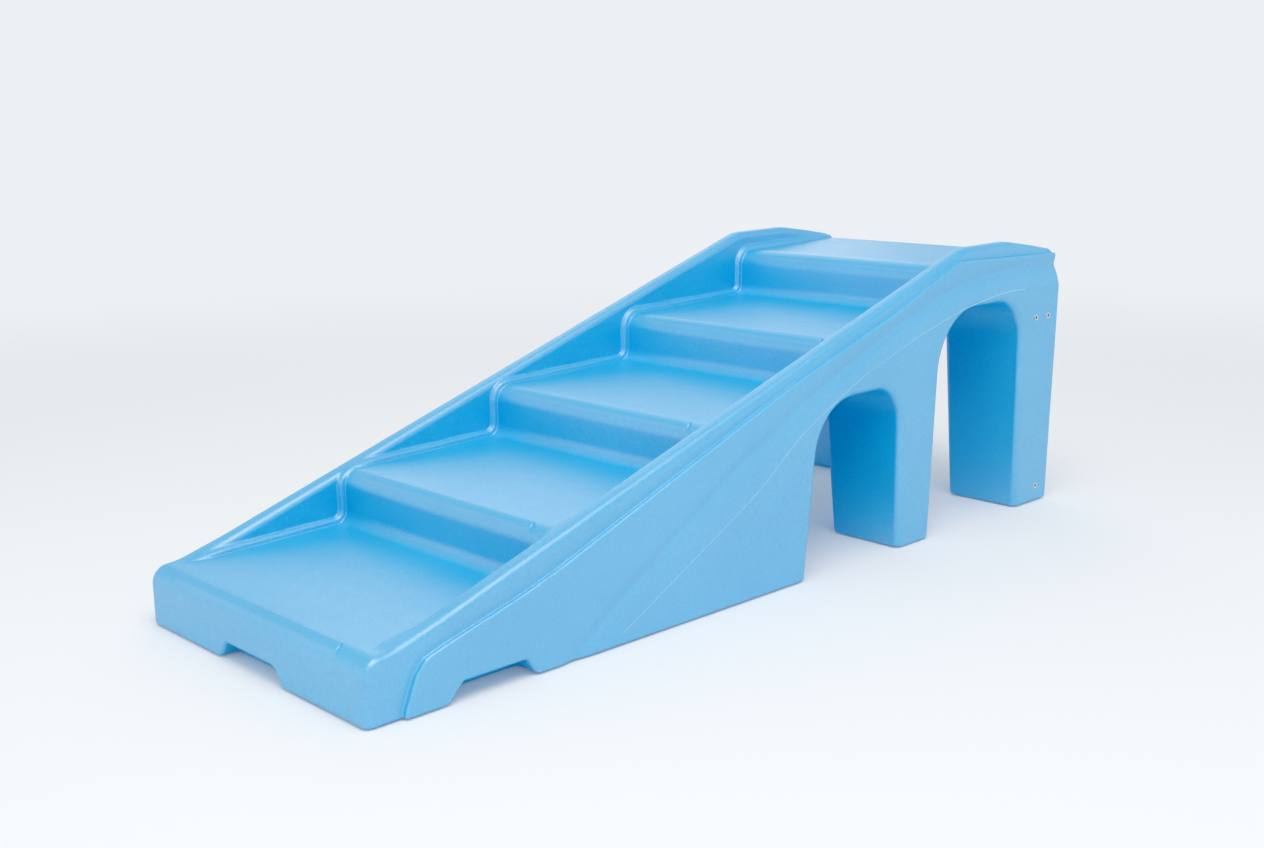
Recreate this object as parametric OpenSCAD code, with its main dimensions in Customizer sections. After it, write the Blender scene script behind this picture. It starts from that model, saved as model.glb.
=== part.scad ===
// Stepped pet ramp: one hollow rotationally moulded body with grip strips, inserts and foot pads.
// X runs along the ramp with the low front end at -X, Y across it, Z up from the floor.
// The origin is on the floor, under the middle of the ramp.

/* [Overall] */
// Length over the widest line of the body, front face to rear face
ramp_length = 1206; // [1180:1:1230]
// Width across the feet, outer face to outer face
foot_width = 446; // [436:1:470]
// Height of the front edge of the lowest tread
first_tread_z = 70; // [66:1:76]
// Wall thickness of the hollow moulding
wall = 5; // [3:0.5:6]

/* [Steps] */
// Rise from one tread to the next
step_rise = 72; // [68:1:75]
// Distance from one riser to the next
step_run = 243; // [236:1:246]
// Distance from the front face to the first riser
first_riser_x = 248; // [240:1:254]
// Climb of each tread from its front edge to the next riser
tread_climb = 8; // [5:1:10]
// Radius of the rounded front edge of a tread
nosing_radius = 21; // [15:1:24]
// Radius of the hollow at the foot of a riser
riser_foot_radius = 20; // [12:1:22]

/* [Side walls] */
// Clear width between the side walls
inner_width = 372; // [360:1:380]
// Depth of the step between the side panel and the rim above it
rim_setback = 6; // [3:0.5:8]
// Radius of the rim's two long edges
rim_radius = 9; // [6:0.5:11]
// Distance from the front face to the start of the rim
rim_start_x = 37; // [30:1:44]
// Distance from the front face to the bend where the rim levels out
rim_bend_x = 983; // [975:1:990]
// Height of the level part of the rim
rim_top_z = 388; // [384:1:394]
// Distance from the front face to the start of the rear taper of the rim
rim_taper_x = 1090; // [1070:1:1110]

/* [Legs] */
// Thickness of a leg across the ramp, at the floor
leg_width = 112; // [102:1:116]
// Height of the front arch
front_arch_z = 221; // [212:1:224]
// Height of the rear arch
rear_arch_z = 305; // [295:1:312]
// Height of the widest line of the body at the rear
parting_z = 318; // [310:1:326]
// Outward lean of the outer faces, foot to widest line
flare = 5; // [2:0.5:7]

/* [Fittings] */
// Width of a nosing strip across the ramp
strip_width = 324; // [300:2:340]
// Thickness of a nosing strip
strip_thickness = 1.6; // [1:0.1:3]
// Corner radius of a threaded insert's hexagon
insert_radius = 4.5; // [3.5:0.5:5]
// Radius of the threaded hole in an insert
insert_bore_radius = 2.1; // [1.6:0.1:2.6]
// How far the rubber pads stand below the feet
pad_proud = 1.5; // [1:0.5:2]

/* [Hidden] */
$fn = 48;

body_color = [0.42, 0.72, 0.91];
brass_color = [0.78, 0.66, 0.40];
rubber_color = [0.12, 0.13, 0.14];
plug_color = [0.30, 0.60, 0.80];

far = 2000;
steps = 4;
// Middle of the whole length, which runs from the lowest strip's nose to the widest line at the rear
middle_x = (ramp_length - strip_thickness) / 2;
foot_z = pad_proud;
foot_half = foot_width / 2;
foot_rear_x = ramp_length - flare;
rim_half = foot_half - rim_setback;
inner_half = inner_width / 2;
wall_overlap = 9;
tread_slope = tread_climb / step_run;
landing_z = nosing_z(steps) + tread_slope * (foot_rear_x - nosing_x(steps));
rim_rear_z = landing_z + 1;
wall_rear_x = foot_rear_x - 2;
panel_top_z = rim_top_z - 12;
edge_radius = 10;

// Front arch, at the floor and at its top, front side then rear side
arch1_foot = [645, 834];
arch1_top = [672, 826.5];
arch1_radii = [60, 38];
// Rear arch
arch2_foot = [907, 1118];
arch2_top = [930, 1109];
arch2_radii = [60, 45];
// How far the drawing of an arch's side runs on past the arch and below the floor
arch_run = 400;
// Inner faces of the legs lean inwards as they rise
leg_lean = 0.08;
// Least thickness of the double skin between a tread and the arch below it
web = 14;

// Blind hand holds under the front and the sides
hold_height = 21;
side_hold_x = [94, 210];
side_hold_top_x = [114, 196];
side_hold_depth = 34;
front_hold_half = 63;
front_hold_top_half = 50;
front_hold_depth = 22;

// Threaded inserts in the outer face of each rear leg, as [x, z]
insert_places = [[1145, 277.5], [1177, 277.5], [1170, 25]];
insert_length = 15;
insert_proud = 0.4;
insert_floor = 2;
boss_radius = 9;
boss_length = 20;

strip_back = 18;
strip_front = 2.5;
strip_drop = 10;
strip_corner = 8;

pad_thickness = 4;
pad_size = [52, 66];
pad_corner = 8;
pad_front_at = [52, 160];
pad_wedge_at = [598, 172];
pad_middle_at = [871, 170];
pad_rear_at = [1160, 170];

vent_at = [400, 0];
vent_radius = 5;
plug_flange_radius = 10;
plug_flange = 2;
plug_recess = 2.5;

// Distance of a riser from the front face, and height of the tread edge above it
function nosing_x(k) = k == 0 ? 0 : first_riser_x + (k - 1) * step_run;
function nosing_z(k) = first_tread_z + k * step_rise;
function foot_of_riser(k) = [nosing_x(k), nosing_z(k - 1) + tread_slope * (nosing_x(k) - nosing_x(k - 1))];
function outer_half(z) = foot_half + flare * min(z, parting_z) / parting_z;

// Moves drawings from the front face's X to the centred frame
module from_front() {
    translate([-middle_x, 0, 0]) children();
}

// Extrudes an X-Z drawing across the ramp, from one Y to another
module across(y0, y1) {
    translate([0, y1, 0]) rotate([90, 0, 0]) linear_extrude(height = y1 - y0) children();
}

// Extrudes a Y-Z drawing along the ramp
module along(x0, x1) {
    translate([x0, 0, 0]) rotate([90, 0, 90]) linear_extrude(height = x1 - x0) children();
}

module both_sides() {
    children();
    mirror([0, 1, 0]) children();
}

// Rounds the outer corners of a drawing
module eased(radius) {
    offset(r = radius) offset(delta = -radius) children();
}

// Rounds the outer corners of a drawing, then its inner corners
module softened(outer, inner) {
    offset(r = -inner) offset(delta = inner) eased(outer) children();
}

// Side view of the body below the treads
module stair_outline() {
    treads = [for (k = [1 : steps]) for (p = [foot_of_riser(k), [nosing_x(k), nosing_z(k)]]) p];
    run_on = 100;
    eased(edge_radius) intersection() {
        softened(nosing_radius, riser_foot_radius) polygon(concat(
            [[0, -run_on], [0, first_tread_z]],
            treads,
            [[ramp_length + run_on, nosing_z(steps) + tread_slope * (ramp_length + run_on - nosing_x(steps))],
            [ramp_length + run_on, -run_on]]
        ));
        polygon([
            [-1, foot_z], [-1, far], [foot_rear_x, far], [foot_rear_x, landing_z],
            [ramp_length, parting_z], [foot_rear_x, foot_z]
        ]);
    }
}

// Side view of the raised side panel, with its step line near the rim
module panel_outline() {
    softened(edge_radius, edge_radius) polygon([
        [42, foot_z], [58, 46], [72, 58], [243, 108], [629, 256], [963, panel_top_z],
        [foot_rear_x, landing_z], [ramp_length, parting_z], [foot_rear_x, foot_z]
    ]);
}

// Cross-section of a side wall, its top at zero and its foot far below
module wall_section(inset) {
    radius = rim_radius - inset;
    low = inner_half + inset;
    high = rim_half - inset;
    translate([low, -far]) square([high - low, far - inset - radius]);
    translate([low + radius, -far]) square([high - low - 2 * radius, far - inset]);
    for (y = [low + radius, high - radius]) translate([y, -inset - radius]) circle(r = radius);
}

// Endless wall whose top follows the line between two X-Z points
module wall_prism(from, to, inset) {
    angle = atan2(to[1] - from[1], to[0] - from[0]);
    translate([from[0], 0, from[1]]) rotate([0, -angle, 0]) along(-far, far) wall_section(inset);
}

// A side wall: the part common to its sloping, level and tapering stretches
module side_wall(inset) {
    intersection() {
        wall_prism([rim_start_x, first_tread_z], [rim_bend_x, rim_top_z - 1], inset);
        wall_prism([rim_bend_x, rim_top_z], [rim_taper_x, rim_top_z], inset);
        wall_prism([rim_taper_x, rim_top_z], [foot_rear_x, rim_rear_z], inset);
        across(inner_half - 1, rim_half + 1) offset(delta = -inset) polygon([
            [rim_start_x - 15, 30], [rim_start_x - 15, far], [wall_rear_x, far],
            [wall_rear_x, parting_z], [rim_bend_x, parting_z - 60]
        ]);
    }
}

// A side panel, leaning out from the foot to the widest line and in again above it
module side_panel(inset) {
    intersection() {
        across(inner_half + wall_overlap, foot_half + 2 * flare) offset(delta = -inset) panel_outline();
        along(-1, ramp_length + 1) offset(delta = -inset) polygon([
            [0, foot_z], [foot_half, foot_z], [foot_half + flare, parting_z],
            [foot_half, parting_z + 36], [foot_half, far], [0, far]
        ]);
    }
}

// Side view of an arch, from its foot and top corners and its two shoulder radii, grown by the inset
module arch_outline(foot, top, radii, height, inset) {
    offset(delta = inset) intersection() {
        half_arch(foot[0], top[0], radii[0], height, 1);
        half_arch(foot[1], top[1], radii[1], height, -1);
    }
}

// One leaning side of an arch with its rounded shoulder, running on beyond the other side
module half_arch(foot, top, radius, height, direction) {
    lean = (top - foot) / height;
    offset(r = radius) offset(delta = -radius) polygon([
        [foot - lean * arch_run, -arch_run], [top, height],
        [top + direction * arch_run, height], [foot + direction * arch_run, -arch_run]
    ]);
}

module arches(inset) {
    arch_outline(arch1_foot, arch1_top, arch1_radii, front_arch_z, inset);
    arch_outline(arch2_foot, arch2_top, arch2_radii, rear_arch_z, inset);
}

// The open way between the left and right legs, from the wedge to the rear
module tunnel_outline(inset) {
    offset(delta = inset) polygon([
        [arch1_foot[0], -10], [arch1_top[0], 180], [arch1_top[0] + 40, front_arch_z - 16],
        [arch1_top[1], front_arch_z], [arch2_top[0] + 20, rear_arch_z],
        [ramp_length + 50, rear_arch_z], [ramp_length + 50, -10]
    ]);
}

module tunnel(inset) {
    half_low = foot_half - leg_width + inset;
    intersection() {
        across(-foot_half, foot_half) below_web(inset) tunnel_outline(inset);
        along(0, ramp_length + 60) polygon([
            [-half_low, -10], [-half_low + leg_lean * far, far], [half_low - leg_lean * far, far], [half_low, -10]
        ]);
    }
}

// Keeps a drawing clear of the treads by the web
module below_web(inset) {
    intersection() {
        children();
        union() {
            offset(delta = inset - web) stair_outline();
            translate([arch1_foot[0] - 100, -20]) square([far, 120]);
            translate([ramp_length - 60, -20]) square([200, rear_arch_z + 20 + inset]);
        }
    }
}

// Blind hand holds in the underside edge of the front and of both sides
module hand_holds(inset) {
    both_sides() across(foot_half - side_hold_depth - inset, foot_half + 20) offset(delta = inset) polygon([
        [side_hold_x[0] - 12, -10], [side_hold_x[0], foot_z], [side_hold_top_x[0], hold_height],
        [side_hold_top_x[1], hold_height], [side_hold_x[1], foot_z], [side_hold_x[1] + 6, -10]
    ]);
    along(-20, front_hold_depth + inset) offset(delta = inset) polygon([
        [-front_hold_half - 6, -10], [-front_hold_half, foot_z], [-front_hold_top_half, hold_height],
        [front_hold_top_half, hold_height], [front_hold_half, foot_z], [front_hold_half + 6, -10]
    ]);
}

// The body without its hollow; the inset draws the hollow, one wall further in
module body(inset) {
    difference() {
        union() {
            across(-rim_half + inset, rim_half - inset) offset(delta = -inset) stair_outline();
            both_sides() side_wall(inset);
            both_sides() side_panel(inset);
        }
        both_sides() {
            across(inner_half + wall_overlap - inset, foot_half + 20) arches(inset);
            across(foot_half - leg_width - 40, inner_half + wall_overlap + 1) below_web(inset) arches(inset);
        }
        tunnel(inset);
        hand_holds(inset);
    }
}

module insert_spots() {
    for (place = insert_places) translate([place[0], -outer_half(place[1]), place[1]]) rotate([-90, 0, 0]) children();
}

// Hexagon from a height above the outer face to a depth inside it
module insert_hex(proud, depth) {
    translate([0, 0, -proud]) cylinder(r = insert_radius, h = proud + depth, $fn = 6);
}

module pad_at(place, side) {
    from_front() translate([place[0], side * place[1], 0]) linear_extrude(height = pad_thickness)
        offset(r = pad_corner) square(pad_size - [2 * pad_corner, 2 * pad_corner], center = true);
}

module pads() {
    for (place = [pad_front_at, pad_wedge_at, pad_middle_at, pad_rear_at])
        for (side = [-1, 1]) pad_at(place, side);
}

// Hollow moulding with bosses round the inserts
module ramp_shell() {
    color(body_color) difference() {
        from_front() difference() {
            body(0);
            difference() {
                body(wall);
                both_sides() insert_spots() cylinder(r = boss_radius, h = boss_length);
            }
            both_sides() insert_spots() insert_hex(1, insert_length);
            translate([vent_at[0], vent_at[1], 0]) cylinder(r = vent_radius, h = foot_z + wall + 2);
            translate([vent_at[0], vent_at[1], 0]) cylinder(r = plug_flange_radius + 0.5, h = foot_z + plug_recess);
        }
        pads();
    }
}

// Grip strip wrapped over the front edge of tread k, where the lowest tread is 0
module nosing_strip(k) {
    x = nosing_x(k);
    z = nosing_z(k);
    color(body_color) from_front() intersection() {
        across(-strip_width / 2, strip_width / 2) difference() {
            offset(r = strip_thickness) stair_outline();
            stair_outline();
            translate([x - far - strip_front, -far]) square([far, 2 * far]);
        }
        translate([x - far / 2, 0, z - strip_drop]) linear_extrude(height = 2 * strip_drop)
            offset(r = strip_corner) square([far + 2 * (strip_back - strip_corner), strip_width - 2 * strip_corner], center = true);
    }
}

// Hexagonal metal insert with a blind threaded hole, mouth on the outer face
module threaded_insert() {
    difference() {
        insert_hex(insert_proud, insert_length);
        translate([0, 0, -insert_proud - 1])
            cylinder(r = insert_bore_radius, h = insert_length + insert_proud + 1 - insert_floor);
    }
}

module inserts_right() {
    color(brass_color) from_front() insert_spots() threaded_insert();
}

module inserts_left() {
    color(brass_color) mirror([0, 1, 0]) from_front() insert_spots() threaded_insert();
}

module foot_pad(place, side) {
    color(rubber_color) pad_at(place, side);
}

module vent_plug() {
    color(plug_color) from_front() translate([vent_at[0], vent_at[1], foot_z + plug_recess - plug_flange]) {
        cylinder(r = plug_flange_radius, h = plug_flange);
        cylinder(r = vent_radius, h = plug_flange + wall + 2);
    }
}

ramp_shell();
nosing_strip(0);  // nosing_strip_1
nosing_strip(1);  // nosing_strip_2
nosing_strip(2);  // nosing_strip_3
nosing_strip(3);  // nosing_strip_4
nosing_strip(4);  // nosing_strip_5
inserts_right();
inserts_left();
foot_pad(pad_front_at, -1);  // pad_front_right
foot_pad(pad_front_at, 1);  // pad_front_left
foot_pad(pad_wedge_at, -1);  // pad_wedge_right
foot_pad(pad_wedge_at, 1);  // pad_wedge_left
foot_pad(pad_middle_at, -1);  // pad_middle_right
foot_pad(pad_middle_at, 1);  // pad_middle_left
foot_pad(pad_rear_at, -1);  // pad_rear_right
foot_pad(pad_rear_at, 1);  // pad_rear_left
vent_plug();
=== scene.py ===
import math

import bmesh
import bpy
import numpy as np
from mathutils import Matrix, Vector


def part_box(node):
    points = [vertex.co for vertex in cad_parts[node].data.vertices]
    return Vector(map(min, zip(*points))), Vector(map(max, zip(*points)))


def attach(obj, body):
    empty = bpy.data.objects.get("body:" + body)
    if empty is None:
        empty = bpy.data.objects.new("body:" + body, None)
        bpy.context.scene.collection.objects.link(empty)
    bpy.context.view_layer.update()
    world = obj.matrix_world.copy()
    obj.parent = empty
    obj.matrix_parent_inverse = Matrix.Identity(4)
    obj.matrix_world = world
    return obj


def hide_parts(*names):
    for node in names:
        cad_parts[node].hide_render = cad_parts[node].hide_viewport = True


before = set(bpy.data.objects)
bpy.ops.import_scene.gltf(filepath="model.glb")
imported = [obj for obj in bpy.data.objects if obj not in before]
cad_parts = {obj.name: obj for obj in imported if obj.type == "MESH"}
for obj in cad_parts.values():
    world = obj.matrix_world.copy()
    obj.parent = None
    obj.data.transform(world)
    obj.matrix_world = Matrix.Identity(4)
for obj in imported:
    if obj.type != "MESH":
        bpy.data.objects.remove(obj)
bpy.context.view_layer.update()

# ---- Driving dimensions of the moulding, in millimetres
# The body is drawn as one distance field: x back from the front face, w out from the middle plane to
# either side, z up from the floor. A field is negative inside what it describes.
MM = 0.001
SHELL_LOW, SHELL_HIGH = (np.array(corner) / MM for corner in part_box("ramp_shell"))
FRONT_X = SHELL_LOW[0]
LENGTH = SHELL_HIGH[0] - SHELL_LOW[0]
FOOT_Z = SHELL_LOW[2]
RIM_TOP_Z = SHELL_HIGH[2]
# The outer faces lean outward by this much from the floor up to the parting line at the rear
FLARE = 5.0
FOOT_HALF = SHELL_HIGH[1] - FLARE
FOOT_REAR_X = LENGTH - FLARE
PARTING_Z = 318.0
# The mould's parting line stands this proud of the widest line of the body
SEAM_PROUD = 0.35
SEAM_HALF = 0.8

# Treads and risers
STEPS = 4
FIRST_TREAD_Z = 70.0
STEP_RISE = 72.0
STEP_RUN = 243.0
FIRST_RISER_X = 248.0
TREAD_CLIMB = 8.0
SLOPE = TREAD_CLIMB / STEP_RUN
NOSING_R = 21.0
RISER_FOOT_R = 16.0

# Side walls: a ledge along the foot of the inner face, a rim on top and a panel on the outer face
WALL_IN = 192.0
WALL_FILLET_R = 1.5
LEDGE_IN = 186.0
LEDGE_RISE = 7.5
LEDGE_R = 5.8
RIM_HALF = FOOT_HALF - 6.0
RIM_R = 9.0
# The rim's outer top edge is a slight bevel, well rounded
RIM_BEVEL = 1.5
RIM_EDGE_R = 6.5
PANEL_IN = 205.0
PANEL_EDGE_R = 2.8
PANEL_BACK_R = 1.0
PANEL_FILLET_R = 1.6
# The soft crease above the parting line is a shallow valley
CREASE_DIP = 2.6
CREASE_HALF = 9.0
# Between parting line and crease the face never turns in over less than this
LEAST_BAND = 0.5
REAR_EDGE_R = 5.0
FOOT_EDGE_R = 4.0

# Legs, arches and the tunnels between the legs of the two sides
MIDDLE_LEG_X, REAR_LEG_X = 900.0, 1100.0
MIDDLE_LEG_WIDTH, REAR_LEG_WIDTH = 112.0, 116.0
MIDDLE_LEG_LEAN, REAR_LEG_LEAN = 0.08, 0.05
WEB = 14.0
ARCH_RECESS_IN = 198.0
ARCH_EDGE_R = 10.0
RECESS_EDGE_R = 6.0
TUNNEL_EDGE_R = 12.0
CEILING_EDGE_R = 8.0

# Hand holds in the lower edge of the sides and of the front
SIDE_HOLD_DEPTH = 34.0
HOLD_EDGE_R = 5.0
FRONT_HOLD = {"half": 63.0, "top_half": 50.0, "height": 20.5, "depth": 22.0, "radius": 5.0}

# Drawings run on to these places, outside the body
BEFORE, BEYOND = -200.0, 1400.0
BELOW, ABOVE = -60.0, 900.0


def nosing_x(k):
    return 0.0 if k == 0 else FIRST_RISER_X + (k - 1) * STEP_RUN


def nosing_z(k):
    return FIRST_TREAD_Z + k * STEP_RISE


def stair_corners():
    """Corners of the line over treads, risers and landing."""
    corners = [(0, BELOW, 0), (0, nosing_z(0), NOSING_R)]
    for k in range(1, STEPS + 1):
        corners.append((nosing_x(k), nosing_z(k) - STEP_RISE + TREAD_CLIMB, RISER_FOOT_R))
        corners.append((nosing_x(k), nosing_z(k), NOSING_R))
    corners.append((BEYOND, nosing_z(STEPS) + SLOPE * (BEYOND - nosing_x(STEPS)), 0))
    corners.append((BEYOND, BELOW, 0))
    return corners


# Side views of the body's parts, as corners (x, z, radius)
DRAWINGS = {
    "stair": stair_corners(),
    # Under the rim's outer top line
    "rim": [
        (14, BELOW, 0), (14, 66.0, 0), (90, 88.2, 200), (983, 387.0, 60), (1088, RIM_TOP_Z + 0.4, 120),
        (1150, 379.5, 120), (BEYOND, 337.0, 0), (BEYOND, BELOW, 0),
    ],
    # Under the upper line of the side panel
    "panel": [
        (38, BELOW, 0), (43, 10, 0), (56, 42, 25), (69, 57, 14), (94, 65, 60), (189, 91, 60),
        (243, 108.5, 120), (629, 256, 400), (826, 320, 200), (890, 346, 200), (961, 372.5, 26),
        (1054, 369.5, 0), (1130, 368, 200), (BEYOND, 360, 0), (BEYOND, BELOW, 0),
    ],
    # Under the mould's parting line
    "parting": [
        (290, BELOW, 0), (314, 6, 40), (555, 134, 300), (627, 190, 300), (745, 245, 300), (861, 283, 300),
        (965, 309, 300), (1054, 321, 300), (1126, 322, 0), (BEYOND, 316, 0), (BEYOND, BELOW, 0),
    ],
    # Under the soft crease above the parting line
    "crease": [
        (215, BELOW, 0), (264, 7, 60), (331, 55, 200), (507, 160, 400), (643, 230, 300), (805, 294, 300),
        (884, 321, 300), (968, 341, 300), (1034, 349, 200), (1106, 350, 200), (BEYOND, 346, 0),
        (BEYOND, BELOW, 0),
    ],
    # In front of the rear face
    "rear": [
        (BEFORE, BELOW, 0), (BEFORE, ABOVE, 0), (FOOT_REAR_X, ABOVE, 0), (FOOT_REAR_X, PARTING_Z + 34, 20),
        (LENGTH, PARTING_Z, 3), (FOOT_REAR_X, BELOW, 0),
    ],
    "arch_1": [
        (640, BELOW, 0), (645, 0, 0), (667, 221, 72), (828, 222, 48), (834, 0, 0), (836, BELOW, 0),
    ],
    "arch_2": [
        (903, BELOW, 0), (905, 4, 0), (916, 307, 84), (1110, 308, 60), (1118, 0, 0), (1120, BELOW, 0),
    ],
    "tunnel": [
        (640, BELOW, 0), (645, 0, 0), (668, 190, 30), (705, 207, 30), (826, 222, 60), (950, 292, 60),
        (BEYOND, 305, 0), (BEYOND, BELOW, 0),
    ],
    "side_hold": [
        (80, BELOW, 0), (94, 0, 0), (114, 21, 6), (196, 21, 6), (210, 0, 0), (222, BELOW, 0),
    ],
}


# ---- Fields of the drawings
ARC_STEP = math.radians(7)
LEAST_ARC_PARTS = 2
# Edges shorter than this, squared, have no direction
TINY = 1e-9
FAR = 1e12


def rounded(corners):
    """A closed drawing from (x, z, radius) corners, each corner replaced by its arc."""
    path = []
    count = len(corners)
    for i, (x, z, radius) in enumerate(corners):
        here = np.array([x, z], float)
        if radius == 0:
            path.append(here)
            continue
        back = np.array(corners[i - 1][:2], float) - here
        on = np.array(corners[(i + 1) % count][:2], float) - here
        back /= np.linalg.norm(back)
        on /= np.linalg.norm(on)
        half = math.acos(np.clip(back @ on, -1, 1)) / 2
        middle = (back + on) / np.linalg.norm(back + on)
        centre = here + middle * radius / math.sin(half)
        sweep = math.pi - 2 * half
        number = max(LEAST_ARC_PARTS, math.ceil(sweep / ARC_STEP))
        spoke = back * radius / math.tan(half) + here - centre
        turn = 1 if spoke[0] * on[1] - spoke[1] * on[0] > 0 else -1
        for step in range(number + 1):
            angle = turn * sweep * step / number
            c, s = math.cos(angle), math.sin(angle)
            turned = np.array([c * spoke[0] - s * spoke[1], s * spoke[0] + c * spoke[1]])
            path.append(centre + turned)
    return np.array(path)


def polygon_distance(x, z, path):
    """Signed distance to a closed drawing, negative inside."""
    nearest = np.full(x.shape, FAR, np.float32)
    inside = np.zeros(x.shape, bool)
    for (ax, az), (bx, bz) in zip(path, np.roll(path, -1, axis=0)):
        dx, dz = bx - ax, bz - az
        length2 = dx * dx + dz * dz
        if length2 < TINY:
            continue
        px, pz = x - np.float32(ax), z - np.float32(az)
        t = np.clip((px * dx + pz * dz) / length2, 0, 1)
        nearest = np.minimum(nearest, (px - t * dx) ** 2 + (pz - t * dz) ** 2)
        crosses = (az > z) != (bz > z)
        if dz != 0:
            inside ^= crosses & (px < dx * pz / dz)
    distance = np.sqrt(nearest)
    return np.where(inside, -distance, distance).astype(np.float32)


# The fields are worked out on a fine grid and looked up between its points
TABLE_STEP = 1.0
TABLE_MARGIN = 12.0
table_x = np.arange(-TABLE_MARGIN, LENGTH + 2 * TABLE_MARGIN, TABLE_STEP, dtype=np.float32)
table_z = np.arange(-TABLE_MARGIN, RIM_TOP_Z + 2 * TABLE_MARGIN, TABLE_STEP, dtype=np.float32)
TABLES = {
    name: polygon_distance(*np.meshgrid(table_x, table_z, indexing="ij"), rounded(corners))
    for name, corners in DRAWINGS.items()
}
# Keeps a lookup's cell off the last row of the table
LAST_CELL = 1.001


def lookup(x, z):
    """Every drawing's field at these points."""
    i = np.clip((x + TABLE_MARGIN) / TABLE_STEP, 0, len(table_x) - LAST_CELL)
    j = np.clip((z + TABLE_MARGIN) / TABLE_STEP, 0, len(table_z) - LAST_CELL)
    i0, j0 = i.astype(np.int32), j.astype(np.int32)
    u, v = (i - i0).astype(np.float32), (j - j0).astype(np.float32)
    fields = {}
    for name, t in TABLES.items():
        low = t[i0, j0] * (1 - u) + t[i0 + 1, j0] * u
        high = t[i0, j0 + 1] * (1 - u) + t[i0 + 1, j0 + 1] * u
        fields[name] = low * (1 - v) + high * v
    return fields


def both(a, b, radius):
    """Inside both, with the edge where they meet rounded."""
    outside = np.sqrt(np.maximum(a + radius, 0) ** 2 + np.maximum(b + radius, 0) ** 2)
    return np.minimum(np.maximum(a, b), -radius) + outside


def either(a, b, radius):
    """Inside either, with a fillet where they meet."""
    return -both(-a, -b, radius)


# ---- The body's field
def side_flare(z):
    """How far the outer face leans out at this height, up to the parting line."""
    return (FLARE - SEAM_PROUD) * np.clip(z, 0, PARTING_Z) / PARTING_Z


def walls_and_treads(w, z, f):
    """Treads, side walls with their ledge and rim, and the raised panel on the outer faces."""
    ledge = both(f["stair"] - LEDGE_RISE, LEDGE_IN - w, LEDGE_R)
    wall = both(either(WALL_IN - w, ledge, WALL_FILLET_R), f["rim"], RIM_R)
    top = either(f["stair"], wall, WALL_FILLET_R)
    bevel = (top + w - RIM_HALF + RIM_BEVEL) * math.sqrt(0.5)
    inner = both(both(top, bevel, RIM_EDGE_R), w - RIM_HALF, RIM_EDGE_R)

    # 0 on the parting line and below it, 1 on the crease and above it
    between = np.clip(f["parting"] / np.maximum(f["parting"] - f["crease"], LEAST_BAND), 0, 1)
    dip = CREASE_DIP * np.exp(-((f["crease"] / CREASE_HALF) ** 2))
    face = FOOT_HALF + side_flare(z) * (1 - between) - dip
    panel = both(both(f["panel"], w - face, PANEL_EDGE_R), PANEL_IN - w, PANEL_BACK_R)
    return either(inner, panel, PANEL_FILLET_R)


def arches_and_tunnel(x, w, z, f):
    """The arches in the sides, joined with the tunnel between the legs of the two sides."""
    along = np.clip((x - MIDDLE_LEG_X) / (REAR_LEG_X - MIDDLE_LEG_X), 0, 1)
    leg_width = MIDDLE_LEG_WIDTH + (REAR_LEG_WIDTH - MIDDLE_LEG_WIDTH) * along
    leg_lean = MIDDLE_LEG_LEAN + (REAR_LEG_LEAN - MIDDLE_LEG_LEAN) * along
    tunnel = both(f["tunnel"], w - (FOOT_HALF - leg_width - leg_lean * z), TUNNEL_EDGE_R)
    under_treads = f["stair"] + WEB
    ceiling = np.where(x > nosing_x(STEPS), under_treads - WEB, under_treads)
    tunnel = both(tunnel, ceiling, CEILING_EDGE_R)
    arches = np.minimum(f["arch_1"], f["arch_2"])
    recess = both(arches, ARCH_RECESS_IN - w, RECESS_EDGE_R)
    arches = np.minimum(recess, both(arches, under_treads, CEILING_EDGE_R))
    return either(arches, tunnel, ARCH_EDGE_R)


def front_hold(x, w, z):
    """The hand hold in the lower edge of the front, wider at the floor than at its top."""
    h = FRONT_HOLD
    lean = (h["half"] - h["top_half"]) / h["height"]
    hold = both((w - h["half"] + lean * z) / math.hypot(1, lean), z - h["height"], h["radius"])
    return both(hold, x - h["depth"], h["radius"])


def body(x, w, z, f):
    """Distance to the moulded body at x, w, z, given the drawings' fields there."""
    solid = both(walls_and_treads(w, z, f), f["rear"], REAR_EDGE_R)
    solid = both(solid, -arches_and_tunnel(x, w, z, f), ARCH_EDGE_R)
    side_hold = both(f["side_hold"], FOOT_HALF - SIDE_HOLD_DEPTH - w, HOLD_EDGE_R)
    solid = both(solid, -side_hold, HOLD_EDGE_R)
    solid = both(solid, -front_hold(x, w, z), HOLD_EDGE_R)
    return both(solid, FOOT_Z - z, FOOT_EDGE_R)


def body_at(points):
    x, w, z = points[:, 0], np.abs(points[:, 1]), points[:, 2]
    return body(x, w, z, lookup(x, z))


SLOPE_REACH = 0.8
LEAST_SLOPE = 1e-6
# The share of the way to the surface that one correction goes
CORRECTION = 0.95


def slope_at(points):
    """Unit normals of the body's field at these points."""
    slope = np.empty_like(points)
    for axis in range(3):
        step = np.zeros(3, np.float32)
        step[axis] = SLOPE_REACH
        slope[:, axis] = body_at(points + step) - body_at(points - step)
    return slope / np.maximum(np.linalg.norm(slope, axis=1, keepdims=True), LEAST_SLOPE)


def onto_surface(points, rounds=3):
    for _ in range(rounds):
        points = points - slope_at(points) * body_at(points)[:, None] * CORRECTION
    points[:, 2] = np.minimum(points[:, 2], RIM_TOP_Z)
    return points.astype(np.float32)


# ---- From field to mesh
GRID = 2.5
# Spacings a little under the step, and odd starts, keep the grid's planes off the body's flat faces
PITCH_SHARES = np.array([0.9973, 0.9891, 0.9937])
START_X_STEPS, START_Z_STEPS = -2.37, -2.29
MARGIN_STEPS = 3
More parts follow.
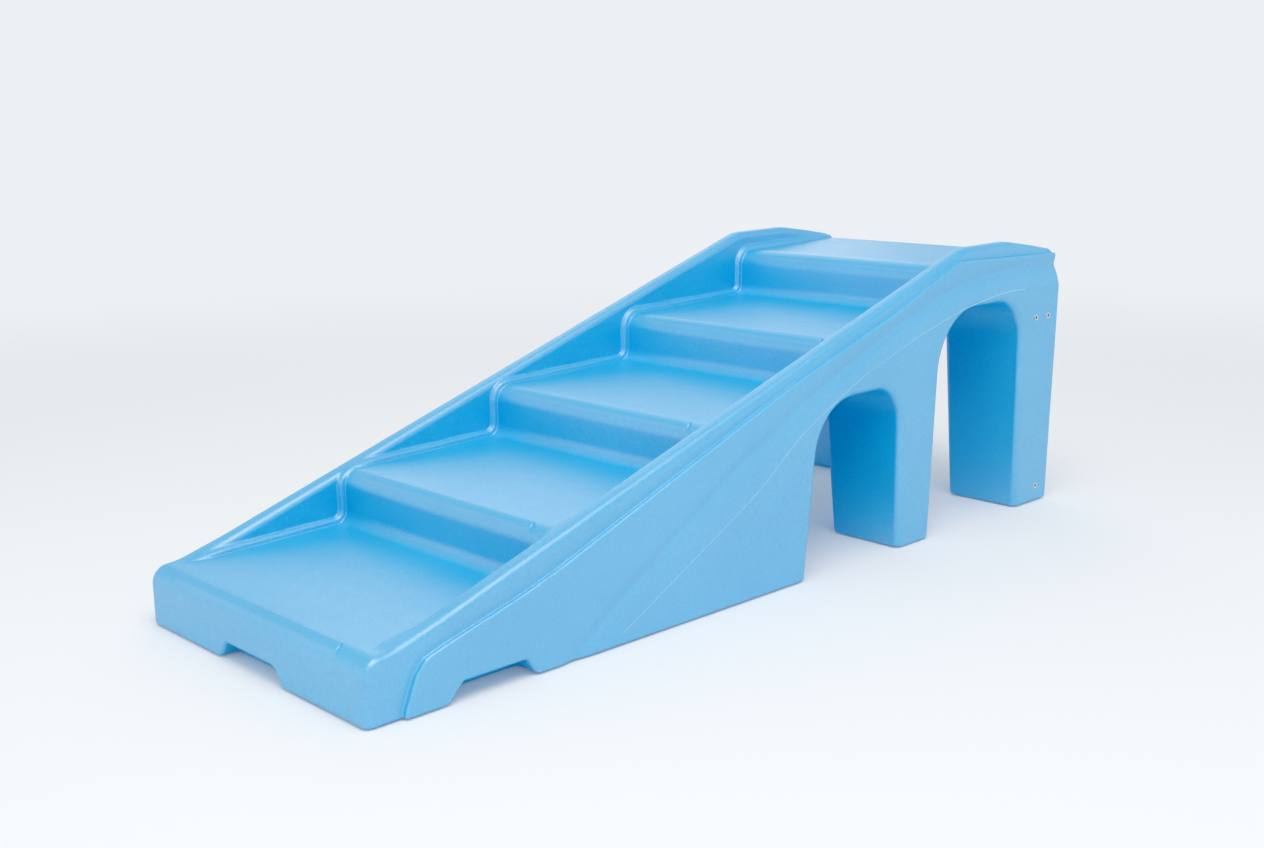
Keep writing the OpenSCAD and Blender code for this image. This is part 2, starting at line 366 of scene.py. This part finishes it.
# The four cells round an edge of the grid, as steps back along its two other axes
RING = ((0, 0), (-1, 0), (-1, -1), (0, -1))


def field_on_grid(step):
    """The body's field on a grid over both halves, with the grid's spacings and first point."""
    pitch = step * PITCH_SHARES
    xs = np.arange(START_X_STEPS * step, LENGTH + MARGIN_STEPS * step, pitch[0], dtype=np.float32)
    ws = np.arange(0, FOOT_HALF + FLARE + MARGIN_STEPS * step, pitch[1], dtype=np.float32)
    lowest = FOOT_Z + START_Z_STEPS * step
    zs = np.arange(lowest, RIM_TOP_Z + MARGIN_STEPS * step, pitch[2], dtype=np.float32)
    gx, gz = np.meshgrid(xs, zs, indexing="ij")
    f = {name: field[:, None, :] for name, field in lookup(gx, gz).items()}
    half = body(gx[:, None, :], ws[None, :, None], gz[:, None, :], f)
    field = np.concatenate([half[:, :0:-1], half], axis=1)
    return field, pitch, np.array([xs[0], -ws[-1], zs[0]])


def surface_mesh(step):
    """Points and four-sided faces of the field's zero surface, one point in each cell it crosses."""
    field, pitch, origin = field_on_grid(step)
    cell_shape = np.array(field.shape) - 1
    total = np.zeros((int(np.prod(cell_shape)), 4), np.float32)
    quads = []
    for axis in range(3):
        low = [slice(None)] * 3
        high = [slice(None)] * 3
        low[axis], high[axis] = slice(None, -1), slice(1, None)
        a, b = field[tuple(low)], field[tuple(high)]
        node = np.argwhere((a < 0) != (b < 0))
        va, vb = a[tuple(node.T)], b[tuple(node.T)]
        crossing = node.astype(np.float32)
        crossing[:, axis] += va / (va - vb)
        side_1, side_2 = (axis + 1) % 3, (axis + 2) % 3
        ring = []
        for d1, d2 in RING:
            cell = node.copy()
            cell[:, side_1] += d1
            cell[:, side_2] += d2
            number = np.ravel_multi_index(tuple(cell.T), tuple(cell_shape))
            np.add.at(total, number, np.column_stack([crossing, np.ones(len(node), np.float32)]))
            ring.append(number)
        quad = np.column_stack(ring)
        flip = va > 0
        quad[flip] = quad[flip][:, ::-1]
        quads.append(quad)
    quads = np.vstack(quads)
    used = np.flatnonzero(total[:, 3])
    renumber = np.zeros(len(total), np.int64)
    renumber[used] = np.arange(len(used))
    points = total[used, :3] / total[used, 3:] * pitch + origin
    return points.astype(np.float32), renumber[quads]


def to_frame(points):
    return (points + np.array([FRONT_X, 0, 0])) * MM


def from_frame(points):
    return (points / MM - np.array([FRONT_X, 0, 0])).astype(np.float32)


def mesh_object(name, points, faces):
    mesh = bpy.data.meshes.new(name)
    mesh.from_pydata(points.tolist(), [], faces)
    mesh.update()
    obj = bpy.data.objects.new(name, mesh)
    bpy.context.scene.collection.objects.link(obj)
    return obj


def points_of(mesh):
    flat = np.empty(3 * len(mesh.vertices), np.float32)
    mesh.vertices.foreach_get("co", flat)
    return flat.reshape(-1, 3)


def applied(obj):
    """Replaces an object's mesh by what its modifiers make of it."""
    bpy.context.view_layer.update()
    made = bpy.data.meshes.new_from_object(obj.evaluated_get(bpy.context.evaluated_depsgraph_get()))
    obj.modifiers.clear()
    obj.data = made
    return made


def prism(rim, start, end):
    """Closed prism from a list of rim offsets, carried from one point to another."""
    count = len(rim)
    points = [start + offset for offset in rim] + [end + offset for offset in rim]
    faces = [[i, (i + 1) % count, (i + 1) % count + count, i + count] for i in range(count)]
    return np.array(points), faces + [list(range(count))[::-1], list(range(count, 2 * count))]


def joined(parts):
    """One list of points and faces from several closed shapes."""
    points, faces, start = [], [], 0
    for part_points, part_faces in parts:
        points.append(np.asarray(part_points, float))
        faces += [[start + i for i in face] for face in part_faces]
        start += len(part_points)
    return np.vstack(points), faces


def turned_outward(obj):
    """Makes every face of a closed mesh look outward."""
    shape = bmesh.new()
    shape.from_mesh(obj.data)
    bmesh.ops.recalc_face_normals(shape, faces=shape.faces)
    shape.to_mesh(obj.data)
    shape.free()


# ---- The moulded body
MOST_FACES = 180_000
# Threaded inserts in the outer face of each rear leg, at (x, z)
INSERT_PLACES = [(1145, 277.5), (1177, 277.5), (1170, 25)]
INSERT_GAP_R = 4.6
INSERT_DEPTH = 15.4
# The recess of the vent plug on the underside
VENT_X = 400.0
VENT_RECESS_R = 10.5
VENT_RECESS = 2.5
VENT_TURN_STEP = 7.5
# Cutters stand this far out of what they cut
CUT_CLEAR = 5.0
# A point further than this from the field's surface was made by a cutter
OFF_SURFACE = 0.5


def hole_cutters():
    """What is cut from the body for the threaded inserts and the vent plug."""
    corners = np.radians(np.arange(0, 360, 60))
    hexagon = [np.array([math.cos(a), 0, math.sin(a)]) * INSERT_GAP_R for a in corners]
    parts = []
    for side in (-1, 1):
        for x, z in INSERT_PLACES:
            face = FOOT_HALF + FLARE * z / PARTING_Z
            outer = np.array([x, side * (face + CUT_CLEAR), z])
            parts.append(prism(hexagon, outer, np.array([x, side * (face - INSERT_DEPTH), z])))
    turns = np.radians(np.arange(0, 360, VENT_TURN_STEP))
    circle = [np.array([math.cos(a), math.sin(a), 0]) * VENT_RECESS_R for a in turns]
    bottom = np.array([VENT_X, 0, -CUT_CLEAR])
    parts.append(prism(circle, bottom, np.array([VENT_X, 0, FOOT_Z + VENT_RECESS])))
    points, faces = joined(parts)
    cutters = mesh_object("hole_cutters", to_frame(points), faces)
    turned_outward(cutters)
    return cutters


def thin_out(obj, most):
    """Thins a mesh of four-sided faces to at most this many triangles, its points on the surface."""
    thin = obj.modifiers.new("thin", "DECIMATE")
    thin.ratio = min(1.0, most / (2 * len(obj.data.polygons)))
    mesh = applied(obj)
    points = to_frame(onto_surface(from_frame(points_of(mesh)), rounds=1))
    mesh.vertices.foreach_set("co", points.astype(np.float32).ravel())
    mesh.update()


def drill(obj):
    """Cuts the holes for the inserts and the vent plug out of a mesh."""
    cutters = hole_cutters()
    holes = obj.modifiers.new("holes", "BOOLEAN")
    holes.operation = "DIFFERENCE"
    holes.object = cutters
    holes.solver = "EXACT"
    applied(obj)
    bpy.data.objects.remove(cutters)


def shade_from_field(mesh):
    """Smooth shading from the field's own slope, and flat shading inside the drilled holes."""
    count = len(mesh.loops)
    vertex = np.empty(count, np.int32)
    mesh.loops.foreach_get("vertex_index", vertex)
    points = from_frame(points_of(mesh))
    smooth = slope_at(points)
    sizes = np.empty(len(mesh.polygons), np.int32)
    flat = np.empty(3 * len(mesh.polygons), np.float32)
    mesh.polygons.foreach_get("loop_total", sizes)
    mesh.polygons.foreach_get("normal", flat)
    flat = flat.reshape(-1, 3)
    face_of = np.repeat(np.arange(len(sizes)), sizes)
    off = np.abs(body_at(points)) > OFF_SURFACE
    in_hole = np.zeros(len(sizes), bool)
    np.logical_or.at(in_hole, face_of, off[vertex])
    normals = np.where(in_hole[face_of][:, None], flat[face_of], smooth[vertex])
    mesh.polygons.foreach_set("use_smooth", np.ones(len(mesh.polygons), bool))
    mesh.normals_split_custom_set(normals.tolist())


points, quads = surface_mesh(GRID)
shell = mesh_object("moulded_body", to_frame(onto_surface(points)), quads.tolist())
thin_out(shell, MOST_FACES)
drill(shell)
shade_from_field(shell.data)
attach(shell, "root")
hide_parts("ramp_shell")


# ---- The fine line where the mould's halves met
SEAM_SPACING = 3.0
SEAM_SINK = 0.5
SEAM_FADE_POINTS = 6.0
SEAM_ABOVE_FOOT = 3.0
SEAM_BEFORE_REAR = RIM_R + 2


def seam_line():
    """x and z of evenly spaced points along the parting line."""
    drawing = rounded(DRAWINGS["parting"])[1:-2]
    steps = np.r_[0, np.cumsum(np.linalg.norm(np.diff(drawing, axis=0), axis=1))]
    at = np.arange(0, steps[-1], SEAM_SPACING)
    x, z = np.interp(at, steps, drawing[:, 0]), np.interp(at, steps, drawing[:, 1])
    keep = (z > FOOT_Z + SEAM_ABOVE_FOOT) & (x < LENGTH - SEAM_BEFORE_REAR)
    return x[keep], z[keep]


def seam_side(side):
    """A low ridge with three sides along the parting line."""
    x, z = seam_line()
    w = FOOT_HALF + side_flare(z)
    along = np.gradient(np.column_stack([x, z]), axis=0)
    along /= np.linalg.norm(along, axis=1, keepdims=True)
    across = np.column_stack([-along[:, 1], along[:, 0]])
    from_end = np.minimum(np.arange(len(x)), np.arange(len(x))[::-1])
    fade = np.minimum(1, from_end / SEAM_FADE_POINTS)
    ridge = SEAM_PROUD * fade - SEAM_SINK * (1 - fade)
    rings = []
    for offset, height in ((-SEAM_HALF, -SEAM_SINK), (0, ridge), (SEAM_HALF, -SEAM_SINK)):
        place = (x + across[:, 0] * offset, side * (w + height), z + across[:, 1] * offset)
        rings.append(np.column_stack(place))
    points = np.stack(rings, axis=1).reshape(-1, 3)
    faces = []
    for i in range(len(x) - 1):
        for j in range(3):
            faces.append([3 * i + j, 3 * i + (j + 1) % 3, 3 * (i + 1) + (j + 1) % 3, 3 * (i + 1) + j])
    last = 3 * (len(x) - 1)
    return points, faces + [[0, 1, 2], [last + 2, last + 1, last]]


seam_points, seam_faces = joined([seam_side(-1), seam_side(1)])
seam = mesh_object("parting_seam", to_frame(seam_points), seam_faces)
turned_outward(seam)
seam.data.shade_smooth()
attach(seam, "root")


# ---- Grip strips over the nosings
STRIP_HALF = 162.0
STRIP_THICK = 2.1
STRIP_EDGE_R = 1.8
STRIP_TAPER = 8.0
STRIP_CORNER = 8.0
STRIP_LOW = 9.5
STRIP_REAR = [18.0, 17.0, 17.0, 17.0, 28.0]
# The rim of the strip's face and its closed back lie this far inside the body
STRIP_RIM_SINK = 0.2
STRIP_BACK_SINK = 0.6
# Rows of points lie at these distances from an edge, then evenly
STRIP_EDGE_ROWS = np.array([0, 0.15, 0.45, 0.9, 1.5, 2.2, 3.2, 4.6, 6.2, 8.0])
ROW_START, ROW_STEP, ROW_END = 10.0, 2.0, 8
COLUMN_START, COLUMN_STEP = 12.0, 6.0


def strip_rows(k):
    """Rows of points across strip k, from its rear edge down: foot, outward, y and height."""
    tilt = math.atan(SLOPE)
    top = np.array([-math.sin(tilt), math.cos(tilt)])
    along = np.array([math.cos(tilt), math.sin(tilt)])
    centre_z = nosing_z(k) + SLOPE * NOSING_R - NOSING_R / math.cos(tilt)
    centre = np.array([nosing_x(k) + NOSING_R, centre_z])
    rear = max(0.0, STRIP_REAR[k] - NOSING_R)
    start_turn = 0.0 if rear > 0 else math.asin(1 - STRIP_REAR[k] / NOSING_R)
    end_turn = math.acos(1 - STRIP_LOW / NOSING_R) + tilt
    length = rear + (end_turn - start_turn) * NOSING_R
    even_rows = np.arange(ROW_START, length - ROW_END, ROW_STEP)
    distances = np.unique(np.r_[STRIP_EDGE_ROWS, even_rows, length - STRIP_EDGE_ROWS])
    even_columns = np.arange(COLUMN_START, STRIP_HALF, COLUMN_STEP)
    columns = STRIP_HALF - np.unique(np.r_[STRIP_EDGE_ROWS, even_columns, STRIP_HALF])
    shares = np.unique(np.round(np.r_[-columns[:-1], columns] / STRIP_HALF, 6))
    rows = []
    for distance in distances:
        corner = max(0.0, STRIP_CORNER - distance)
        half = STRIP_HALF - (STRIP_CORNER - math.sqrt(STRIP_CORNER ** 2 - corner ** 2))
        if distance < rear:
            foot = centre + top * NOSING_R + along * (rear - distance)
            outward = top
        else:
            turn = start_turn + (distance - rear) / NOSING_R
            outward = math.cos(turn) * top - math.sin(turn) * along
            foot = centre + outward * NOSING_R
        y = shares * half
        to_edge = np.minimum(distance, half - np.abs(y))
        edge = np.sqrt(1 - (1 - np.clip(to_edge / STRIP_EDGE_R, 0, 1)) ** 2)
        taper = np.clip((length - distance) / STRIP_TAPER, 0, 1)
        height = (STRIP_THICK + STRIP_RIM_SINK) * edge * taper * taper * (3 - 2 * taper) - STRIP_RIM_SINK
        rows.append((foot, outward, y, height))
    return rows


def strip_mesh(k):
    """A thin pad that follows the nosing of tread k, thinning out at its lower edge: face, then back."""
    rows = strip_rows(k)
    back = [(foot, outward, y, np.full(len(y), -STRIP_BACK_SINK)) for foot, outward, y, _ in rows]
    points = []
    for foot, outward, y, h in rows + back:
        points.append(np.column_stack([foot[0] + outward[0] * h, y, foot[1] + outward[1] * h]))
    across = len(rows[0][2])
    below = len(rows) * across
    faces = []
    for i in range(len(rows) - 1):
        for j in range(across - 1):
            a = i * across + j
            faces.append([a, a + 1, a + across + 1, a + across])
            faces.append([below + a, below + a + across, below + a + across + 1, below + a + 1])
    last = (len(rows) - 1) * across
    border = list(range(across)) + [i * across + across - 1 for i in range(1, len(rows))]
    border += list(range(last + across - 2, last - 1, -1))
    border += [i * across for i in range(len(rows) - 2, 0, -1)]
    for a, b in zip(border, border[1:] + border[:1]):
        faces.append([a, below + a, below + b, b])
    return np.vstack(points), faces


strips = []
for k in range(STEPS + 1):
    strip_points, strip_faces = strip_mesh(k)
    strip = mesh_object(f"nosing_grip_{k + 1}", to_frame(strip_points), strip_faces)
    turned_outward(strip)
    face_points = len(strip_points) // 2
    on_face = [max(corners) < face_points for corners in strip_faces]
    strip.data.polygons.foreach_set("use_smooth", on_face)
    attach(strip, "root")
    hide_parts(f"nosing_strip_{k + 1}")
    strips.append(strip)


# ---- Materials
def new_material(name):
    material = bpy.data.materials.new(name)
    material.use_nodes = True
    tree = material.node_tree
    tree.nodes.new("ShaderNodeTexCoord")
    return material, tree, tree.nodes["Principled BSDF"]


def object_place(tree):
    return tree.nodes["Texture Coordinate"].outputs["Object"]


def noise(tree, scale, detail, roughness=0.5, place=None):
    """A noise value between 0 and 1 at each place on the object."""
    node = tree.nodes.new("ShaderNodeTexNoise")
    node.inputs["Scale"].default_value = scale
    node.inputs["Detail"].default_value = detail
    node.inputs["Roughness"].default_value = roughness
    tree.links.new(place or object_place(tree), node.inputs["Vector"])
    return node.outputs["Fac"]


def remapped(tree, value, start, end, smooth=False):
    """A value carried from the range start to the range end, and held at its ends."""
    node = tree.nodes.new("ShaderNodeMapRange")
    if smooth:
        node.interpolation_type = "SMOOTHSTEP"
    node.inputs["From Min"].default_value = start[0]
    node.inputs["From Max"].default_value = start[1]
    node.inputs["To Min"].default_value = end[0]
    node.inputs["To Max"].default_value = end[1]
    tree.links.new(value, node.inputs["Value"])
    return node.outputs["Result"]


def coloured(tree, value, places, colours):
    """A value turned into a colour between two colours at two places."""
    node = tree.nodes.new("ShaderNodeValToRGB")
    for stop, place, colour in zip(node.color_ramp.elements, places, colours):
        stop.position = place
        stop.color = (*colour, 1)
    tree.links.new(value, node.inputs["Fac"])
    return node.outputs["Color"]


def overlaid(tree, under):
    """A colour mix over the given colour: the node, its inputs by identifier, and its result."""
    mix = tree.nodes.new("ShaderNodeMix")
    mix.data_type = "RGBA"
    inputs = {socket.identifier: socket for socket in mix.inputs}
    outputs = {socket.identifier: socket for socket in mix.outputs}
    tree.links.new(under, inputs["A_Color"])
    return mix, inputs, outputs["Result_Color"]


def tinted(tree, under, tint, amount):
    """The colour under, turned towards the tint by an amount that varies."""
    mix, inputs, result = overlaid(tree, under)
    inputs["B_Color"].default_value = (*tint, 1)
    tree.links.new(amount, inputs["Factor_Float"])
    return result


def multiplied(tree, under, colour):
    mix, inputs, result = overlaid(tree, under)
    mix.blend_type = "MULTIPLY"
    inputs["Factor_Float"].default_value = 1.0
    tree.links.new(colour, inputs["B_Color"])
    return result


CLOUD_PLACES = (0.32, 0.68)
CLOUD_DETAIL, CLOUD_ROUGHNESS = 5.0, 0.6
GLOSS_FINER = 9
GLOSS_RANGE = (0.3, 0.7)
GLOSS_DETAIL, GLOSS_ROUGHNESS = 6.0, 0.7
GRAIN_DETAIL = 3.0
GRAIN_STRENGTH = 0.5


def varied(tree, shader, colours, scale, rough, grain, grain_depth):
    """Clouded colour, uneven gloss and a fine grain on a shader; gives the clouded colour."""
    cloud = noise(tree, scale, CLOUD_DETAIL, CLOUD_ROUGHNESS)
    colour = coloured(tree, cloud, CLOUD_PLACES, colours)
    tree.links.new(colour, shader.inputs["Base Color"])
    patches = noise(tree, scale * GLOSS_FINER, GLOSS_DETAIL, GLOSS_ROUGHNESS)
    tree.links.new(remapped(tree, patches, GLOSS_RANGE, rough), shader.inputs["Roughness"])
    bump = tree.nodes.new("ShaderNodeBump")
    bump.inputs["Strength"].default_value = GRAIN_STRENGTH
    bump.inputs["Distance"].default_value = grain_depth
    tree.links.new(noise(tree, grain, GRAIN_DETAIL), bump.inputs["Height"])
    tree.links.new(bump.outputs["Normal"], shader.inputs["Normal"])
    return colour


# Polyethylene: clouds, then pale scuffs in one direction, a painted highlight on convex edges and a fine
# speckle
PLASTIC_CLOUDS = 7.0
PLASTIC_IOR, PLASTIC_SPECULAR = 2.0, 0.75
SCUFF_SCALE = (9.0, 60.0, 150.0)
SCUFF_TURN = (0.0, 0.35, 0.2)
SCUFF_DETAIL, SCUFF_ROUGHNESS = 6.0, 0.75
SCUFF_RANGE, SCUFF_AMOUNT = (0.66, 0.80), (0.0, 0.35)
SCUFF_TINT = (0.10, 0.46, 0.79)
# Convex edges are painted paler by the mesh's pointiness: a painted highlight
EDGE_HIGHLIGHT_RANGE, EDGE_HIGHLIGHT_AMOUNT = (0.52, 0.62), (0.0, 0.45)
EDGE_HIGHLIGHT_TINT = (0.14, 0.50, 0.82)
SPECKLE_SHARE = 0.8
SPECKLE_DETAIL = 2.0
SPECKLE_PLACES = (0.34, 0.66)
SPECKLE_COLOURS = ((0.84, 0.90, 0.93), (1.16, 1.07, 1.04))


def scuffs(tree):
    """How much of a scuff there is at each place."""
    stretched = tree.nodes.new("ShaderNodeMapping")
    stretched.inputs["Scale"].default_value = SCUFF_SCALE
    stretched.inputs["Rotation"].default_value = SCUFF_TURN
    tree.links.new(object_place(tree), stretched.inputs["Vector"])
    scratch = noise(tree, 1.0, SCUFF_DETAIL, SCUFF_ROUGHNESS, stretched.outputs["Vector"])
    return remapped(tree, scratch, SCUFF_RANGE, SCUFF_AMOUNT)


def plastic(name, colours, rough, grain=420.0, grain_depth=0.0006):
    """Glossy moulded polyethylene with light scuffs and a painted highlight along its convex edges."""
    material, tree, shader = new_material(name)
    colour = varied(tree, shader, colours, PLASTIC_CLOUDS, rough, grain, grain_depth)
    shader.inputs["IOR"].default_value = PLASTIC_IOR
    shader.inputs["Specular IOR Level"].default_value = PLASTIC_SPECULAR
    colour = tinted(tree, colour, SCUFF_TINT, scuffs(tree))
    # Painted highlight: convex edges, found by pointiness, turn towards a paler blue
    shape = tree.nodes.new("ShaderNodeNewGeometry")
    painted_edge_highlight = remapped(tree, shape.outputs["Pointiness"], EDGE_HIGHLIGHT_RANGE, EDGE_HIGHLIGHT_AMOUNT)
    colour = tinted(tree, colour, EDGE_HIGHLIGHT_TINT, painted_edge_highlight)
    grains = noise(tree, grain * SPECKLE_SHARE, SPECKLE_DETAIL)
    colour = multiplied(tree, colour, coloured(tree, grains, SPECKLE_PLACES, SPECKLE_COLOURS))
    tree.links.new(colour, shader.inputs["Base Color"])
    return material


METAL_CLOUDS, METAL_GRAIN, METAL_GRAIN_DEPTH = 160.0, 2500.0, 0.0001
RUBBER_CLOUDS, RUBBER_GRAIN, RUBBER_GRAIN_DEPTH = 45.0, 900.0, 0.0008
RUBBER_SPECULAR = 0.35


def metal(name, colours, rough):
    material, tree, shader = new_material(name)
    varied(tree, shader, colours, METAL_CLOUDS, rough, METAL_GRAIN, METAL_GRAIN_DEPTH)
    shader.inputs["Metallic"].default_value = 1.0
    return material


def rubber(name, colours, rough):
    material, tree, shader = new_material(name)
    varied(tree, shader, colours, RUBBER_CLOUDS, rough, RUBBER_GRAIN, RUBBER_GRAIN_DEPTH)
    shader.inputs["Specular IOR Level"].default_value = RUBBER_SPECULAR
    return material


def dress(obj, material):
    obj.data.materials.clear()
    obj.data.materials.append(material)


BLUE = plastic("blue_polyethylene", [(0.024, 0.350, 0.705), (0.032, 0.380, 0.745)], (0.36, 0.46))
# The seam ridge is painted far paler than the body: a painted highlight along the parting line
SEAM_HIGHLIGHT_BLUE = plastic("seam_painted_highlight", [(0.22, 0.58, 0.86), (0.34, 0.66, 0.90)], (0.35, 0.45))
GRIP_BLUE = plastic(
    "blue_grip", [(0.026, 0.355, 0.71), (0.034, 0.385, 0.748)], (0.30, 0.40), grain=900.0, grain_depth=0.0004
)
PLUG_BLUE = plastic("blue_plug", [(0.006, 0.27, 0.60), (0.010, 0.30, 0.64)], (0.36, 0.48))
NICKEL = metal("nickel_plated_brass", [(0.70, 0.67, 0.60), (0.82, 0.79, 0.73)], (0.22, 0.38))
RUBBER = rubber("black_rubber", [(0.016, 0.016, 0.017), (0.028, 0.028, 0.029)], (0.62, 0.82))
dress(shell, BLUE)
dress(seam, SEAM_HIGHLIGHT_BLUE)
for strip in strips:
    dress(strip, GRIP_BLUE)


def finish_for(node):
    """The material of a CAD node that stays in view."""
    if node.startswith("inserts"):
        return NICKEL
    if node.startswith("pad"):
        return RUBBER
    return PLUG_BLUE


for name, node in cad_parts.items():
    if name != "ramp_shell" and not name.startswith("nosing_strip"):
        node.material_slots[0].material = finish_for(name)

# ---- Floor and studio light
SKY = (0.830, 0.866, 0.905, 1)
# The world is dimmer overhead than at the horizon, between these heights of its direction
CEILING = 0.58
CEILING_RANGE = (0.20, 0.55)
FLOOR_HALF = 60.0
FLOOR_COLOUR = (0.81, 0.83, 0.835, 1)
FLOOR_GLOW, FLOOR_GLOW_STRENGTH = (0.93, 0.97, 1.0, 1), 0.09
FLOOR_ROUGHNESS, FLOOR_SPECULAR = 0.85, 0.2
# The floor turns into the sky between these distances from the object, in metres
FADE_RANGE = (1.1, 3.4)


def paper_floor():
    """Pale paper that turns into the colour of the background with distance, so no horizon shows."""
    material, tree, shader = new_material("paper_floor")
    shader.inputs["Base Color"].default_value = FLOOR_COLOUR
    shader.inputs["Emission Color"].default_value = FLOOR_GLOW
    shader.inputs["Emission Strength"].default_value = FLOOR_GLOW_STRENGTH
    shader.inputs["Roughness"].default_value = FLOOR_ROUGHNESS
    shader.inputs["Specular IOR Level"].default_value = FLOOR_SPECULAR
    distance = tree.nodes.new("ShaderNodeVectorMath")
    distance.operation = "LENGTH"
    tree.links.new(object_place(tree), distance.inputs[0])
    glow = tree.nodes.new("ShaderNodeEmission")
    glow.inputs["Color"].default_value = SKY
    mix = tree.nodes.new("ShaderNodeMixShader")
    fade = remapped(tree, distance.outputs["Value"], FADE_RANGE, (0, 1), smooth=True)
    tree.links.new(fade, mix.inputs["Fac"])
    tree.links.new(shader.outputs["BSDF"], mix.inputs[1])
    tree.links.new(glow.outputs["Emission"], mix.inputs[2])
    tree.links.new(mix.outputs["Shader"], tree.nodes["Material Output"].inputs["Surface"])
    return material


def studio_world():
    world = bpy.data.worlds.new("studio")
    world.use_nodes = True
    tree = world.node_tree
    walls = tree.nodes["Background"]
    walls.inputs["Color"].default_value = SKY
    direction = tree.nodes.new("ShaderNodeTexCoord")
    parts = tree.nodes.new("ShaderNodeSeparateXYZ")
    tree.links.new(direction.outputs["Generated"], parts.inputs["Vector"])
    dimmed = remapped(tree, parts.outputs["Z"], CEILING_RANGE, (1, CEILING), smooth=True)
    tree.links.new(dimmed, walls.inputs["Strength"])
    return world


def soft_light(name, place, aim, size, power):
    """A square area light, size in metres and power in watts, that the camera does not see."""
    light = bpy.data.lights.new(name, "AREA")
    light.size = size
    light.energy = power
    obj = bpy.data.objects.new(name, light)
    obj.location = place
    obj.rotation_euler = (Vector(aim) - Vector(place)).to_track_quat("-Z", "Y").to_euler()
    obj.visible_camera = False
    bpy.context.scene.collection.objects.link(obj)


floor_corners = FLOOR_HALF * np.array([[-1, -1, 0], [1, -1, 0], [1, 1, 0], [-1, 1, 0]])
floor = mesh_object("floor", floor_corners, [[0, 1, 2, 3]])
floor.data.materials.append(paper_floor())
bpy.context.scene.world = studio_world()

OBJECT_MIDDLE = (0, 0, 0.2)
OBJECT_LOW = (0, 0, 0.1)
soft_light("overhead", (-0.7, -1.0, 2.7), OBJECT_MIDDLE, 2.0, 43.0)
soft_light("low_end", (-2.6, 0.9, 1.3), OBJECT_MIDDLE, 2.0, 3.0)
soft_light("far_side", (2.4, 2.9, 1.9), OBJECT_MIDDLE, 2.5, 16.0)
soft_light("by_camera", (-1.9, -2.0, 2.6), OBJECT_LOW, 1.6, 8.0)

# ---- Camera
CAMERA_AT = Vector((-1.3237, -1.3379, 0.5792))
CAMERA_AZIMUTH = math.radians(46.20)
CAMERA_PITCH = math.radians(12.15)
CAMERA_ROLL = math.radians(-0.617)
# The focal length for a frame this many pixels wide
FOCAL_PX = 1478.3
FRAME_PX = 1264
SENSOR_WIDTH = 36.0


def aimed_camera():
    data = bpy.data.cameras.new("camera")
    data.sensor_width = SENSOR_WIDTH
    data.lens = FOCAL_PX * SENSOR_WIDTH / FRAME_PX
    forward = Vector((
        math.cos(CAMERA_PITCH) * math.cos(CAMERA_AZIMUTH),
        math.cos(CAMERA_PITCH) * math.sin(CAMERA_AZIMUTH),
        -math.sin(CAMERA_PITCH),
    ))
    level = forward.cross(Vector((0, 0, 1))).normalized()
    upright = level.cross(forward)
    right = math.cos(CAMERA_ROLL) * level + math.sin(CAMERA_ROLL) * upright
    up = right.cross(forward)
    turn = Matrix((right, up, -forward)).transposed().to_4x4()
    camera = bpy.data.objects.new("camera", data)
    camera.matrix_world = Matrix.Translation(CAMERA_AT) @ turn
    bpy.context.scene.collection.objects.link(camera)
    return camera


bpy.context.scene.camera = aimed_camera()

# Tone curve: deeper shadows and a soft shoulder, as a camera's picture has
TONES = [
    (0.0, 0.0), (0.03, 0.001), (0.045, 0.010), (0.06, 0.028), (0.093, 0.0850), (0.167, 0.1967),
    (0.279, 0.3326), (0.4185, 0.4874), (0.558, 0.6161), (0.6975, 0.7432), (0.837, 0.8519), (1.0, 0.972),
]
ALL_CHANNELS = 3
view = bpy.context.scene.view_settings
view.view_transform = "Standard"
view.use_curve_mapping = True
tone = view.curve_mapping.curves[ALL_CHANNELS]
tone.points[0].location = TONES[0]
tone.points[-1].location = TONES[-1]
for dark, shown in TONES[1:-1]:
    tone.points.new(dark, shown)
view.curve_mapping.update()
